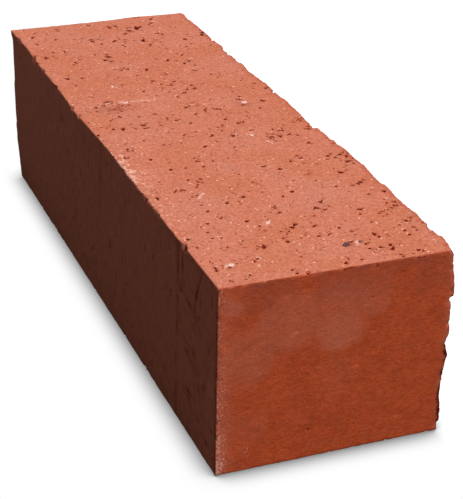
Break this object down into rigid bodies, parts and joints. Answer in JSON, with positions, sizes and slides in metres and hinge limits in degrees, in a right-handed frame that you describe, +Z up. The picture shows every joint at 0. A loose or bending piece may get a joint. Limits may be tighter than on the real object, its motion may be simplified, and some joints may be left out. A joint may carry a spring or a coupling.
{
  "type": "solid clay bar brick",
  "caption": "Long solid fired-clay bar: a wire-cut brick with a pitted upper bed face, smooth headers, a grooved left side, a torn right side and coarse mineral grains set in its surface.",
  "frame": {"origin": "centre of the lower bed face, on the resting plane", "axes": "+X across the width towards the torn stretcher, +Y along the length from the front header to the rear header, +Z up"},
  "size_m": [0.0915, 0.29, 0.076],
  "materials": {
    "fired_clay": "matte",
    "white_quartz": "satin",
    "pale_lime": "matte",
    "grey_flint": "satin",
    "dark_slag": "gloss"
  },
  "bodies": {
    "root": {"brick_body": "fired_clay", "white_grain_front_left": "white_quartz", "pale_grit_front_left": "pale_lime", "white_splinter_front": "white_quartz", "slag_nodule_front": "dark_slag", "grey_grain_front": "grey_flint", "pale_grain_front_right": "pale_lime", "pale_grain_beside_pit": "pale_lime", "pale_grain_left": "pale_lime", "grey_grain_right": "grey_flint", "white_grain_with_scratch": "white_quartz", "pale_grain_left_edge": "pale_lime", "white_pebble_right": "white_quartz", "pale_grain_middle": "pale_lime", "pale_grit_middle": "pale_lime", "white_grain_in_patch": "white_quartz", "white_splinter_left": "white_quartz", "pale_grit_rear": "pale_lime", "pale_splinter_rear": "pale_lime", "white_grain_rear": "white_quartz"}
  },
  "joints": []
}
